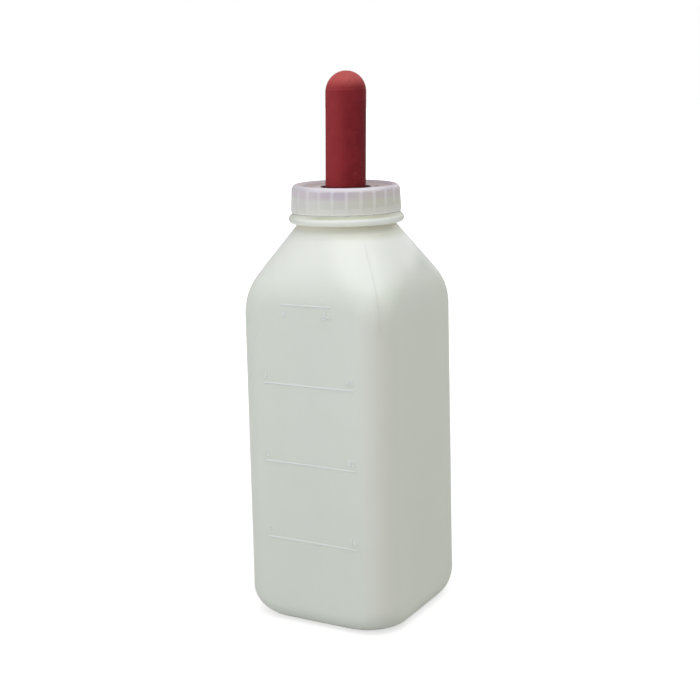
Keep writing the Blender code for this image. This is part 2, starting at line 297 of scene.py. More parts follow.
    piece = markRaised(tree, grid, calc(tree, "MAXIMUM", onRib, ridge))
    piece = geometry(tree, "SetPosition", {"Geometry": piece, "Position": spotAt(radius)})
    piece = geometry(tree, "MergeByDistance", {"Geometry": piece, "Distance": 1e-6})
    return endPieceTree(tree, piece, given["Finish"])


def newObject(name, data):
    obj = bpy.data.objects.new(name, data)
    scene.collection.objects.link(obj)
    return obj


def plainMesh(obj, name):  # what the modifiers make, as a new plain mesh
    graph = bpy.context.evaluated_depsgraph_get()
    mesh = bpy.data.meshes.new_from_object(obj.evaluated_get(graph))
    mesh.name = name
    finishes = [material for material in mesh.materials if material]
    mesh.materials.clear()
    for material in finishes[:1]:  # one finish on every face
        mesh.materials.append(material)
    mesh.polygons.foreach_set("material_index", [0] * len(mesh.polygons))
    source = obj.data
    bpy.data.objects.remove(obj)
    if source.users == 0 and isinstance(source, bpy.types.Mesh):
        bpy.data.meshes.remove(source)
    return newObject(name, mesh)


def shapedMesh(source, name, tree, values):  # what a geometry tree makes of a source mesh
    obj = newObject(name + "Source", source)
    modifier = obj.modifiers.new("shape", "NODES")
    modifier.node_group = tree
    for item in tree.interface.items_tree:
        if item.item_type == "SOCKET" and item.in_out == "INPUT" and item.name in values:
            modifier[item.identifier] = values[item.name]
    return plainMesh(obj, name)


def finishMesh(obj, sharpAngle=38):
    bm = bmesh.new()
    bm.from_mesh(obj.data)
    bmesh.ops.remove_doubles(bm, verts=bm.verts, dist=1e-7)
    bmesh.ops.recalc_face_normals(bm, faces=bm.faces)
    openEdges = sum(1 for e in bm.edges if not e.is_manifold)
    bm.to_mesh(obj.data)
    bm.free()
    obj.data.shade_smooth()
    obj.data.set_sharp_from_angle(angle=math.radians(sharpAngle))
    triangles = sum(len(p.vertices) - 2 for p in obj.data.polygons)
    print(f"{obj.name}: {triangles} triangles, {openEdges} open edges")


def loft(name, rows, finish, inputs):
    stations = bpy.data.meshes.new(name + "Stations")
    stations.from_pydata([(0, 0, row["z"] * mm) for row in rows], [], [])
    for value in stationValues:
        layer = stations.attributes.new(value, "FLOAT", "POINT")
        scale = 1.0 if value in ("rib", "panel") else mm
        layer.data.foreach_set("value", [row.get(value, 0.0) * scale for row in rows])
    return shapedMesh(stations, name, loftTree, {**inputs, "Finish": finish})


# shared shader groups
texture = {
    "mottle": (0.32, 0.68), "scuffTurns": (0.4, 1.7, 2.6), "scuffAxis": (0.3, 0.9, 0.2),
    "scuffLine": (0.74, 0.8), "scuffPatch": (0.5, 0.62), "scuffPatchSize": 0.03,
    "speck": (0.3, 0.7, 0.7, 1.0), "speckRoughness": 0.7, "grainRoughness": 0.6}


def mixColor(tree, share, first, second):
    return addNode(tree, "ShaderNodeMix", {0: share, 6: first, 7: second}, data_type="RGBA").outputs[2]


def shaderGroup(name, inputs, outputs):
    tree, given = newTree(name, "Shader", [("Vector", "Vector")] + inputs, outputs)
    return tree, given["Vector"], given


def makeGrainGroup():  # fine texture that the mould leaves in plastic or rubber
    tree, spot, given = shaderGroup("mouldGrain", [
        ("Grain Size", "Float", 0.0006), ("Waves", "Float", 0.3), ("Wave Size", "Float", 0.012)],
        [("Height", "Float"), ("Tone", "Float")])
    fine = noiseOf(tree, spot, given["Grain Size"], 3.0, texture["grainRoughness"])
    broad = noiseOf(tree, spot, given["Wave Size"], 1.0)
    height = timesPlus(tree, broad, given["Waves"], fine)
    return endTree(tree, Height=height, Tone=fine)


def makeMottleGroup():  # slow changes of tone, as in plastic of uneven thickness
    tree, spot, given = shaderGroup("mottle", [
        ("Color", "Color"), ("Other Color", "Color"), ("Patch Size", "Float", 0.03),
        ("Amount", "Float", 0.5)], [("Color", "Color"), ("Mask", "Float")])
    patches = noiseOf(tree, spot, given["Patch Size"], 3.0)
    mask = times(tree, ramp(tree, patches, *texture["mottle"]), given["Amount"])
    color = mixColor(tree, mask, given["Color"], given["Other Color"])
    return endTree(tree, Color=color, Mask=mask)


def makeScuffGroup():  # short fine scratches that lie in three directions
    tree, spot, given = shaderGroup("scuffs", [
        ("Length", "Float", 0.02), ("Width", "Float", 0.0003), ("Amount", "Float", 0.3)],
        [("Mask", "Float")])
    across = over(tree, 1.0, given["Width"])
    along = over(tree, 1.0, given["Length"])
    stretch = join(tree, across, along, along)
    scuffs = 0.0
    for turn in texture["scuffTurns"]:
        turned = addNode(tree, "ShaderNodeVectorRotate", {
            "Vector": spot, "Axis": texture["scuffAxis"], "Angle": turn}).outputs[0]
        lines = noiseOf(tree, vectorCalc(tree, "MULTIPLY", 0, turned, stretch), 1, 0)
        scuffs = calc(tree, "MAXIMUM", scuffs, ramp(tree, lines, *texture["scuffLine"]))
    patches = noiseOf(tree, spot, texture["scuffPatchSize"])
    patches = ramp(tree, patches, *texture["scuffPatch"])
    return endTree(tree, Mask=times(tree, scuffs, patches, given["Amount"]))


def makeBloomAndTopLightGroup():  # pale bloom that settles on faces that look up, with painted light, since these faces are painted lighter as if lit from above
    tree, spot, given = shaderGroup("settledFilm", [
        ("From", "Float", 0.3), ("To", "Float", 0.9), ("Speck Size", "Float", 0.001),
        ("Amount", "Float", 0.3)], [("Mask", "Float")])
    up = split(tree, addNode(tree, "ShaderNodeNewGeometry").outputs["Normal"])["Z"]
    specks = noiseOf(tree, spot, given["Speck Size"], 3.0, texture["speckRoughness"])
    specks = ramp(tree, specks, *texture["speck"])
    facing = ramp(tree, up, given["From"], given["To"])
    return endTree(tree, Mask=times(tree, facing, specks, given["Amount"]))


grainGroup = makeGrainGroup()
mottleGroup = makeMottleGroup()
scuffGroup = makeScuffGroup()
bloomAndTopLightGroup = makeBloomAndTopLightGroup()


def groupIn(tree, group, spot, values):
    return addNode(tree, "ShaderNodeGroup", {"Vector": spot, **values}, node_tree=group).outputs


# materials: a coat is a ground colour and the layers on it, and a later coat may name an earlier one
# a layer is a colour and its masks: a measure, where it starts and ends, and the shares there,
# or with one number that share of the measure itself
def paint(tree, colors, coats, measures):
    for name, (ground, *layers) in coats.items():
        color = colors[ground]
        for cover, *masks in layers:
            shares = []
            for measure, *bounds in masks:
                shape = ramp if len(bounds) > 1 else times
                shares.append(shape(tree, measures[measure], *bounds))
            color = mixColor(tree, times(tree, *shares), color, colors[cover])
        colors[name] = color
    return color


def newMaterial(name, constants):
    material = bpy.data.materials.new(name)
    material.use_nodes = True
    shader = material.node_tree.nodes["Principled BSDF"].inputs
    for key, value in constants.items():
        shader[key].default_value = value
    return material, material.node_tree, shader


def makeMaterial(name, values, addMeasures=None):
    material, tree, shader = newMaterial(name, values["constants"])
    spot = addNode(tree, "ShaderNodeTexCoord").outputs["Object"]
    mottled = groupIn(tree, mottleGroup, spot, values["mottle"])
    grain = groupIn(tree, grainGroup, spot, values["grain"])
    scuffs = groupIn(tree, scuffGroup, spot, values["scuffs"])
    raised = addNode(tree, "ShaderNodeAttribute", attribute_name="raised").outputs["Fac"]
    measures = {"scuffs": scuffs["Mask"], "mottle": mottled["Mask"], "raised": raised}
    for key, way in values["ways"].items():
        measures[key] = vectorCalc(tree, "DOT_PRODUCT", "Value", spot, way)
    if addMeasures:
        addMeasures(tree, spot, values, measures)
    colors = {key: (*color, 1) for key, color in values["colors"].items()}
    colors["mottled"] = mottled["Color"]
    feed(tree, shader["Base Color"], paint(tree, colors, values["coats"], measures))
    toneShare = values["toneRoughness"]
    rough = timesPlus(tree, grain["Tone"], toneShare, values["roughness"] - toneShare / 2)
    rough = timesPlus(tree, scuffs["Mask"], values["scuffRoughness"], rough)
    feed(tree, shader["Roughness"], rough)
    bump = addNode(tree, "ShaderNodeBump", {
        "Strength": values["bump"], "Distance": values["bumpDepth"], "Height": grain["Height"]})
    feed(tree, shader["Normal"], bump.outputs[0])
    return material


# directions over the object, as it stands before the camera
up, right, front = (0, 0, 1), (0.87, 0.49, 0), (0.49, -0.87, 0)

# bottle plastic
bottleFinish = {
    "constants": {"Specular IOR Level": 0.65, "Subsurface Weight": 0.3, "Subsurface Scale": 1.0,
                  "Subsurface Radius": (0.0034, 0.0036, 0.0030)},
    "mottle": {"Color": (0.707, 0.757, 0.684, 1), "Other Color": (0.727, 0.772, 0.708, 1),
               "Patch Size": 0.035, "Amount": 0.8},
    "grain": {"Grain Size": 0.0007, "Waves": 0.6},
    "scuffs": {"Length": 0.016, "Width": 0.00022, "Amount": 0.5},
    "roughness": 0.42, "toneRoughness": 0.12, "scuffRoughness": 0.1, "bump": 0.5, "bumpDepth": 0.00006,
    "ways": {"height": up, "right": right, "front": front, "side": (1, 0, 0), "corner": (1, -1, 0)},
    "colors": {
        "deep": (0.668, 0.716, 0.642), "shadedWallTint": (0.66, 0.697, 0.597), "cornerReflection": (0.685, 0.68, 0.63),
        "shoulder": (0.78, 0.80, 0.765), "edge": (0.57, 0.60, 0.555), "ring": (0.665, 0.68, 0.585),
        "grooveLitTint": (0.83, 0.815, 0.70), "beadShade": (0.57, 0.615, 0.55),
        "beadLight": (0.795, 0.825, 0.785), "beadUndersideLight": (0.93, 0.94, 0.87),
        "capShadow": (0.46, 0.465, 0.355), "raised": (0.86, 0.89, 0.87), "scuff": (0.86, 0.88, 0.85)},
    "coats": {
        # painted light and shade: the bead is lighter at the front, shaded at the sides, and paler
        # underneath
        "bead": (
            "beadShade",
            ("beadLight", ("front", 0, 0.03)),
            ("beadUndersideLight", ("height", 0.2449, 0.2475, 1, 0))),
        "surface": (
            "mottled",
            ("deep", ("height", 0, 0.14, 0.7, 0)),  # thicker and a little greener towards the base
            ("shadedWallTint", ("side", 0.036, 0.051, 0, 0.85), ("height", 0.182, 0.206, 1, 0.55)),  # painted shade: the wall away from the key lamp is darker and more olive
            ("cornerReflection", ("corner", 0.084, 0.0925, 0, 0.5)),  # painted reflection and shade: the corner that faces the front is warmer and a little darker
            # painted light: the shoulder, which faces the top lamp, is paler and more neutral
            ("shoulder", ("height", 0.206, 0.226, 0, 0.6)),
            # painted shade: the shoulder darkens towards its right outline
            ("edge", ("right", 0.037, 0.0465, 0, 0.85), ("height", 0.210, 0.222)),
            ("ring", ("height", 0.2352, 0.2392), ("right", -0.024, 0.006, 0.2, 1)),  # painted shade below the neck, where the cap and bead shade it, most at the front
            # painted light and shade: the groove under the bead is paler, to lift its shadow, with an olive
            # tone of shade
            ("grooveLitTint", ("height", 0.2407, 0.2432, 0, 0.95), ("height", 0.2477, 0.2487, 1, 0)),
            ("bead", ("height", 0.2445, 0.2453)),
            ("capShadow", ("height", 0.2481, 0.2495), ("height", 0.2503, 0.2508, 1, 0),  # painted shadow of the cap on the ledge
             ("right", -0.030, -0.014, 0.25, 0.95), ("right", 0.018, 0.028, 1, 0.75)),
            # painted highlight on the raised marks and threads
            ("raised", ("raised", 0.9)),
            ("scuff", ("scuffs", 0.25)))}}
bottlePlastic = makeMaterial("bottlePlastic", bottleFinish)

# cap plastic
showsThrough = ("wander", 0.2592, 0.2628)  # the red rubber shows through from here up
capFinish = {
    "constants": {"Specular IOR Level": 0.5, "Subsurface Weight": 0.3, "Subsurface Scale": 1.0,
                  "Subsurface Radius": (0.003, 0.003, 0.003)},
    "mottle": {"Color": (0.592, 0.597, 0.555, 1), "Other Color": (0.62, 0.62, 0.588, 1),
               "Patch Size": 0.012, "Amount": 0.8},
    "grain": {"Grain Size": 0.0006, "Waves": 0.5, "Wave Size": 0.006},
    "scuffs": {"Length": 0.006, "Width": 0.00018, "Amount": 0.5},
    "roughness": 0.38, "toneRoughness": 0.12, "scuffRoughness": 0.12, "bump": 0.5, "bumpDepth": 0.00005,
    "ways": {"height": up, "right": right, "front": front, "side": (1, 0, 0)},
    "wander": 0.0012, "blotchSize": 0.022, "blotchShift": 0.02, "patchSize": 0.009,
    "airHole": (0.01644, 0.00911, 0.2660),
    "colors": {
        "capShadedSide": (0.585, 0.585, 0.48), "capLitSide": (0.69, 0.70, 0.67), "flangeTint": (0.545, 0.485, 0.565),
        "tintShadedSide": (0.585, 0.54, 0.535), "tintLitSide": (0.65, 0.60, 0.64), "rimShade": (0.50, 0.465, 0.505),
        "rimDark": (0.43, 0.37, 0.42), "rimLight": (0.69, 0.655, 0.71), "slopeTint": (0.54, 0.48, 0.52),
        "slopeDark": (0.47, 0.40, 0.445), "discTint": (0.45, 0.355, 0.345),
        "pinkTint": (0.49, 0.365, 0.345), "greyTint": (0.445, 0.385, 0.36), "holeEdgeHighlight": (0.68, 0.62, 0.63),
        "holeWallShade": (0.13, 0.014, 0.019), "airHoleShade": (0.05, 0.02, 0.018), "raised": (0.86, 0.85, 0.87),
        "foot": (0.755, 0.755, 0.725), "brinkLight": (0.90, 0.89, 0.83)},
    "coats": {
        # painted light and shade: where the red rubber shows through, the shaded right side is warmer and
        # the lit left side paler
        "tint": ("flangeTint", ("tintShadedSide", ("shadedSideBlotch", 0.008, 0.020)),
                 ("tintLitSide", ("right", -0.008, -0.026))),
        # painted light and shade: the rim is lighter at the front, shaded behind, and darker on the right
        "rim": (
            "rimShade",
            ("rimDark", ("right", 0, 0.018)),
            ("rimLight", ("front", -0.012, 0.012), ("sideways", 0.016, 0.028, 1, 0.45))),
        # painted shade: the inner slope is darker on the right
        "slope": ("slopeTint", ("slopeDark", ("right", 0.002, 0.018))),
        "disc": ("discTint", ("pinkTint", ("patches", 0.48, 0.75)), ("greyTint", ("patches", 0.52, 0.25))),
        "surface": (
            "mottled",
            ("capShadedSide", ("side", 0.014, 0.030, 0, 0.6)),  # painted shade: the side away from the key lamp is darker and yellower
            # painted light: the side towards the key lamp is paler
            ("capLitSide", ("right", -0.004, -0.025, 0, 0.85)),
            ("tint", showsThrough),
            ("rim", ("height", 0.2640, 0.2660)),
            ("slope", ("away", 0.0294, 0.0306, 1, 0), showsThrough),
            ("disc", ("away", 0.0263, 0.0281, 1, 0), showsThrough),
            ("holeEdgeHighlight", ("away", 0.0164, 0.0219, 1, 0), ("right", -0.012, 0.010, 0.85, 0.3)),  # painted highlight round the hole, stronger on the lit left side
            # painted shade: the hole's wall is dark red, like the shaded crevice round the nipple, most on
            # the left
            ("holeWallShade", ("away", 0.0154, 0.0158, 1, 0), ("right", -0.004, 0.012, 0.95, 0.6)),
            # painted shade round the air hole
            ("airHoleShade", ("airHole", 0.0014, 0.0023, 0.9, 0)),
            # painted highlight on the ribs, stronger higher up
            ("raised", ("raised", 0.27), ("height", 0.2510, 0.2620, 0.35, 1)),
            # painted light: the lowest part of the skirt and its bevel are paler, to lift their shade
            ("foot", ("height", 0.2525, 0.2565, 0.5, 0)),
            # painted light on the cap's bottom edge, to lift the shade in the slot below
            ("brinkLight", ("height", 0.2512, 0.2522, 1, 0)))}}


def capMeasures(tree, spot, values, measures):
    measures["sideways"] = calc(tree, "ABSOLUTE", measures["right"])
    measures["wander"] = timesPlus(tree, measures["mottle"], values["wander"], measures["height"])
    # a blotchy edge for the painted shade on the right side
    blotches = noiseOf(tree, spot, values["blotchSize"], 1.0)
    measures["shadedSideBlotch"] = timesPlus(tree, blotches, values["blotchShift"], measures["right"])
    measures["patches"] = noiseOf(tree, spot, values["patchSize"], 3.0)
    measures["away"] = vectorCalc(tree, "LENGTH", "Value", vectorCalc(tree, "MULTIPLY", 0, spot, (1, 1, 0)))
    measures["airHole"] = vectorCalc(tree, "DISTANCE", "Value", spot, values["airHole"])


capPlastic = makeMaterial("capPlastic", capFinish, capMeasures)

# nipple rubber
rubberFinish = {
    "constants": {"Specular IOR Level": 0.1, "Sheen Weight": 0.02, "Sheen Roughness": 0.5,
                  "Sheen Tint": (0.9, 0.45, 0.42, 1), "Subsurface Weight": 0.08, "Subsurface Scale": 1.0,
                  "Subsurface Radius": (0.0025, 0.0006, 0.0005)},
    "mottle": {"Color": (0.213, 0.0175, 0.0235, 1), "Other Color": (0.18, 0.0135, 0.0185, 1),
               "Patch Size": 0.007, "Amount": 0.9},
    "grain": {"Grain Size": 0.0004, "Waves": 0.6, "Wave Size": 0.004},
    "scuffs": {"Length": 0.003, "Width": 0.00016, "Amount": 1.0},
    "bloomAndTopLight": {"From": 0.02, "To": 0.68, "Speck Size": 0.0007, "Amount": 0.66},
    "roughness": 0.7, "toneRoughness": 0.2, "scuffRoughness": 0.0, "bump": 0.6, "bumpDepth": 0.00006,
    "ways": {"height": up, "towardKeyLamp": (-0.64, -0.77, 0.0)}, "speckSize": 0.0011,
    "colors": {"bloomAndTopLight": (0.62, 0.14, 0.13), "keyLitSide": (0.56, 0.075, 0.085), "shade": (0.115, 0.009, 0.013),
               "creviceShadeAndSpecks": (0.05, 0.006, 0.007), "scuff": (0.5, 0.2, 0.2)},
    "coats": {
        "surface": (
            "mottled",
            # partly real bloom, partly painted light from above
            ("bloomAndTopLight", ("bloomAndTopLight", 1)),
            ("keyLitSide", ("towardKeyLamp", 0.002, 0.0115, 0, 0.27)),  # painted light: the side towards the key lamp is paler
            ("shade", ("towardKeyLamp", 0, -0.0105, 0, 0.6), ("height", 0.310, 0.326, 1, 0.1)),  # painted shade: the other side is darker, less so on the dome
            ("creviceShadeAndSpecks", ("height", 0.2658, 0.2670, 0.85, 0)),  # painted shade in the crevice under the cap's disc
            ("scuff", ("scuffs", 0.2)),
            # small dark specks in the rubber
            ("creviceShadeAndSpecks", ("specks", 0.70, 0.76, 0, 0.6)))}}


def rubberMeasures(tree, spot, values, measures):
    measures["bloomAndTopLight"] = groupIn(tree, bloomAndTopLightGroup, spot, values["bloomAndTopLight"])["Mask"]
    measures["specks"] = noiseOf(tree, spot, values["speckSize"], 1.0)


nippleRubber = makeMaterial("nippleRubber", rubberFinish, rubberMeasures)
print("materials ready")


# bottle
bottle = {
    "half": 51.9, "taper": 0.7, "corner": 18.6, "wall": 1.5, "filletFace": 11.9, "filletCorner": 18.0,
    "ringWidth": 6.0, "pushUp": 5.0, "shoulderFace": 213.1, "shoulderCorner": 203.9,
    "shoulderRoundFace": 43.4, "shoulderRoundCorner": 34.8, "neckBase": 243.7, "neckRound": 3.7,
    "neck": 30.1, "neckWall": 2.0, "neckStep": 0.85, "beadReach": 5.15, "bead": 2.65, "ledge": 2.7,
    "ledgeTop": 250.95, "ledgeRound": 0.4, "lipRound": 0.6, "lip": 262.0, "threadRise": 0.9,
    "threadFoot": 252.9, "threadTurns": 1.4, "threadLead": 4.233, "threadWidth": 1.7, "threadFrom": 0.5,
    "threadTo": 0.2, "sink": 0.35, "waviness": 0.16, "waveSize": 0.034, "sinkFrom": 14.0, "sinkRise": 30.0,
    "sinkTo": 214.0, "sinkFall": 40.0, "flatTop": 176.0, "flatSteps": 40, "shoulderSteps": 72,
    "domeSteps": 24, "ringSteps": 4, "filletSteps": 24, "boreSteps": 8}


def baseStations(b, half, diagonal, filletFace, filletCorner, floor):
    domeFace, domeCorner = half - filletFace - b["ringWidth"], diagonal - filletCorner - b["ringWidth"]
    rows = []
    for i in range(b["domeSteps"] + 1):
        share = i / b["domeSteps"]
        rows.append((domeFace * share, domeCorner * share, floor + b["pushUp"] * (1 - share ** 3)))
    for i in range(1, b["ringSteps"] + 1):
        out = b["ringWidth"] * i / b["ringSteps"]
        rows.append((domeFace + out, domeCorner + out, floor))
    for i in range(1, b["filletSteps"] + 1):
        rise = max(filletFace, filletCorner) * (1 - math.cos(math.pi / 2 * i / b["filletSteps"]))
        reach = []
        for width, fillet in ((half, filletFace), (diagonal, filletCorner)):
            left = max(fillet - rise, 0.0)
            reach.append(width - fillet + math.sqrt(fillet * fillet - left * left))
        rows.append((*reach, floor + rise))
    return rows


def bottleProfiles(b):  # the face profile and the corner profile, from the base to the lip
    half, topHalf, cut = b["half"], b["half"] - b["taper"], b["corner"] * (math.sqrt(2) - 1)
    face = [(half, 0.0), (topHalf, b["shoulderFace"])]
    corner = [(half * math.sqrt(2) - cut, 0.0), (topHalf * math.sqrt(2) - cut, b["shoulderCorner"])]
    neck = [(b["neck"], b["neckBase"]), (b["neck"], b["lip"])]
    return face + neck, corner + neck


def bodyStations(b, face, corner, wall, high):  # the base and the walls, outside or one wall further in
    rows = baseStations(b, face[0].x, corner[0].x, b["filletFace"] - wall, b["filletCorner"] - wall, wall)
    low, flatTop = rows[-1][2], b["flatTop"]
    heights = [low + (flatTop - low) * i / b["flatSteps"] for i in range(1, b["flatSteps"] + 1)]
    for i in range(1, b["shoulderSteps"] + 1):
        heights.append(flatTop + (high - flatTop) * i / b["shoulderSteps"])
    return rows + [(radiusAt(face, z), radiusAt(corner, z), z) for z in heights]


def neckRing(b, neckTop, straight):  # up the neck's outside, over the bead and the ledge
    neck, ledgeTop, ledgeRound = b["neck"], b["ledgeTop"], b["ledgeRound"]
    bead = arc((neck + b["beadReach"] - b["bead"], neckTop + b["bead"]), b["bead"], -90, 45, 20)
    ring = spread([(neck, neckTop), bead[0]], 0.8)[1:] + bead[1:]
    ledge = [bead[-1], (neck + b["ledge"], ledgeTop), (neck + ledgeRound, ledgeTop)]
    ring += roundCorners(ledge, (ledgeRound,), 6)[1:]
    ring += arc((neck + ledgeRound, ledgeTop + ledgeRound), ledgeRound, 270, 180, 3)[1:]
    runOn(ring, 0.2, (neck, straight))
    return ring


def bottleRows(b):
    wall, outer, inner = b["wall"], [], []
    for corners, shoulder in zip(bottleProfiles(b), (b["shoulderRoundFace"], b["shoulderRoundCorner"])):
        outer.append(roundCorners(corners, (shoulder, b["neckRound"])))
        moved = inward(corners, (wall, wall, b["neckWall"]))
        inner.append(roundCorners(moved, (shoulder - wall, b["neckRound"] + wall)))
    bore = b["neck"] - b["neckWall"]
    neckTop = b["neckBase"] + b["neckStep"]
    lipRound, straight = b["lipRound"], b["lip"] - b["lipRound"]

    rows = []
    for half, diagonal, z in bodyStations(b, *outer, 0.0, neckTop):
        rise = clamp((z - b["sinkFrom"]) / b["sinkRise"]) * clamp((b["sinkTo"] - z) / b["sinkFall"])
        rows.append(station(half, diagonal, z, panel=smooth(rise)))
    for r, z in neckRing(b, neckTop, straight):
        onThread = b["ledgeTop"] + b["threadFrom"] < z < straight - b["threadTo"]
        rows.append(station(r, r, z, thread=b["threadRise"] if onThread else 0.0))
    lip = arc((b["neck"] - lipRound, straight), lipRound, 0, 90, 6)[1:]
    runOn(lip, 0.5, (bore + lipRound, b["lip"]))
    lip += arc((bore + lipRound, straight), lipRound, 90, 180, 6)[1:]
    rows += [station(r, r, z) for r, z in lip]
    inside = bodyStations(b, *inner, wall, neckTop)
    for i in range(1, b["boreSteps"]):
        inside.append((bore, bore, neckTop + (straight - neckTop) * i / b["boreSteps"]))
    downwards = inside[::-2]  # every other station is fine enough inside
    if downwards[-1] != inside[0]:
        downwards.append(inside[0])
    return rows + [station(*place) for place in downwards]


loftTree = makeLoftTree()
thread = {"Thread Lead": bottle["threadLead"] * mm, "Thread Width": bottle["threadWidth"] * mm}
bottleShell = loft("bottleShell", bottleRows(bottle), bottlePlastic, {
    **thread, "Columns": 192, "Crowding": 0.45, "Thread Foot": bottle["threadFoot"] * mm,
    "Thread Turns": bottle["threadTurns"], "Panel Sink": bottle["sink"] * mm,
    "Wall Waviness": bottle["waviness"] * mm, "Wave Size": bottle["waveSize"]})
finishMesh(bottleShell)
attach(bottleShell, "bottle")
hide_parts("bottle")


# raised level lines and numbers on the wall
marks = {
    "lines": ((200.1, 17.1), (151.9, 31.0), (103.35, 31.1), (54.8, 31.2)),  # height and half length
    "left": "4321", "right": ("64", "48", "32", "16"), "lineWidth": 1.1, "proud": 0.24, "root": 0.5,
    "barShape": ((-0.5, 0.45), (-0.3, 0.9), (0.0, 1.0), (0.3, 0.9), (0.5, 0.45)),  # across and out
    "barStep": 2.0, "endSqueeze": 0.55, "numberHeight": 3.5, "topNumberHeight": 4.3, "gap": 3.0,
    "topGap": 3.2, "topFrom": 180.0, "inset": 0.4, "stroke": 0.05, "bevel": 0.07, "digitShare": 0.72,
    "castFrom": 0.2, "wallClear": 0.02}


def makeRaiseTree():
    tree, given = pieceTree("raisedMarks", [
        ("Marks", "Geometry"), ("Wall", "Object"), ("Reach", "Float", 0.05188),
        ("Cast From", "Float", 0.2)])
    wall = addNode(tree, "GeometryNodeObjectInfo", {"Object": given["Wall"]}).outputs["Geometry"]
    parts = split(tree, geometry(tree, "InputPosition"))
    outside = join(tree, parts["X"], times(tree, given["Cast From"], -1.0), parts["Z"])
    ray = addNode(tree, "GeometryNodeRaycast", {
        "Target Geometry": wall, "Source Position": outside, "Ray Direction": (0, 1, 0),
        "Ray Length": times(tree, given["Cast From"], 2.0)}).outputs
    y = plus(tree, split(tree, ray["Hit Position"])["Y"], parts["Y"])
    y = calc(tree, "MAXIMUM", y, times(tree, given["Reach"], -1.0))
    there = join(tree, parts["X"], y, parts["Z"])
    piece = geometry(tree, "SetPosition", {"Geometry": given["Marks"], "Position": there})
    return endPieceTree(tree, markRaised(tree, piece, 1.0), given["Finish"])


def addBar(bm, m, middle, half):  # a bar with a rounded front, along x, cut into short lengths
    width = m["lineWidth"]
    front = [(width * across, -m["proud"] * out) for across, out in m["barShape"]]
    section = [(-width / 2, m["root"]), *front, (width / 2, m["root"])]
    count = max(2, round(half * 2 / m["barStep"]))
    rings = []
    for i in range(count + 1):
        x = -half + 2 * half * i / count
        squeeze = m["endSqueeze"] if i in (0, count) else 1.0
        rings.append([bm.verts.new((x * mm, y * (squeeze if y < 0 else 1.0) * mm, (middle + z) * mm))
                      for z, y in section])
    for here, there in zip(rings, rings[1:]):
        for j in range(len(section)):
            k = (j + 1) % len(section)
            bm.faces.new((here[j], here[k], there[k], there[j]))
    bm.faces.new(rings[0])
    bm.faces.new(rings[-1][::-1])


def addNumber(bm, m, text, edge, base, height):  # from an edge on the left, or up to one on the right
    curve = bpy.data.curves.new("number", "FONT")
    curve.body = text
    curve.size = height * mm / m["digitShare"]
    curve.offset = m["stroke"] * mm
    curve.extrude = (m["proud"] + m["root"]) / 2 * mm
    curve.bevel_depth = m["bevel"] * mm
    curve.resolution_u = 4
    made = plainMesh(newObject("number", curve), "number")
    across = [v.co.x for v in made.data.vertices]
    start = edge * mm - (min(across) if edge < 0 else max(across))
    back = (m["root"] - m["proud"]) / 2 * mm
    for v in made.data.vertices:
        v.co = (v.co.x + start, back - v.co.z, v.co.y + base * mm)
    bm.from_mesh(made.data)
    bpy.data.objects.remove(made)


def makeMarks(m):
    bm = bmesh.new()
    for (height, half), left, right in zip(m["lines"], m["left"], m["right"]):
        addBar(bm, m, height, half)
        top = height > m["topFrom"]  # the highest line has its numbers below it
        size = m["topNumberHeight"] if top else m["numberHeight"]
        base = height - m["topGap"] - size if top else height + m["gap"]
        addNumber(bm, m, left, -half + m["inset"], base, size)
        addNumber(bm, m, right, half - m["inset"], base, size)
    bmesh.ops.remove_doubles(bm, verts=bm.verts, dist=1e-6)
    flat = bpy.data.meshes.new("levelMarksFlat")
    bm.to_mesh(flat)
    bm.free()
    return shapedMesh(flat, "levelMarks", makeRaiseTree(), {
        "Wall": bottleShell, "Reach": (bottle["half"] - m["wallClear"]) * mm, "Cast From": m["castFrom"],
        "Finish": bottlePlastic})


levelMarks = makeMarks(marks)
finishMesh(levelMarks, 60)
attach(levelMarks, "bottle")


# mould seam up two opposite corners
seam = {"from": 186.0, "to": 236.0, "width": 0.4, "proud": 0.045, "sunk": 0.3}


def makeSeamTree():
    tree, given = pieceTree("mouldSeam", [
        ("Path", "Geometry"), ("Width", "Float", 0.0006), ("Depth", "Float", 0.0004)])
    path = geometry(tree, "MeshToCurve", {0: given["Path"]})
    ring = geometry(tree, "CurvePrimitiveCircle", {"Resolution": 8, "Radius": 1.0})
    size = join(tree, times(tree, given["Width"], 0.5), times(tree, given["Depth"], 0.5), 1.0)
    ring = geometry(tree, "Transform", {"Geometry": ring, "Scale": size})
    piece = geometry(tree, "CurveToMesh", {"Curve": path, "Profile Curve": ring, "Fill Caps": True})
    piece = geometry(tree, "MergeByDistance", {"Geometry": piece, "Distance": 1e-7})
    return endPieceTree(tree, piece, given["Finish"])


def makeSeam(s, b):
    outside = []
    for row in bottleRows(b):  # the outside comes first, from the base up
        if row["z"] > s["to"]:
            break
        if row["z"] >= s["from"]:
            outside.append((row["diagonal"], row["z"]))
    shift = (s["sunk"] - s["proud"]) / 2
    points, edges = [], []
    for side in (-1, 1):
        first = len(points)
        for i, (r, z) in enumerate(outside):
            before, after = outside[max(i - 1, 0)], outside[min(i + 1, len(outside) - 1)]
            along = (Vector(after) - Vector(before)).normalized()
            aside = side * (r - along.y * shift) / math.sqrt(2) * mm
            points.append((-aside, aside, (z + along.x * shift) * mm))
        edges += [(j, j + 1) for j in range(first, len(points) - 1)]
    path = bpy.data.meshes.new("seamPath")
    path.from_pydata(points, edges, [])
    return shapedMesh(path, "mouldSeam", makeSeamTree(), {
        "Width": s["width"] * mm, "Depth": (s["proud"] + s["sunk"]) * mm, "Finish": bottlePlastic})


mouldSeam = makeSeam(seam, bottle)
finishMesh(mouldSeam, 80)
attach(mouldSeam, "bottle")


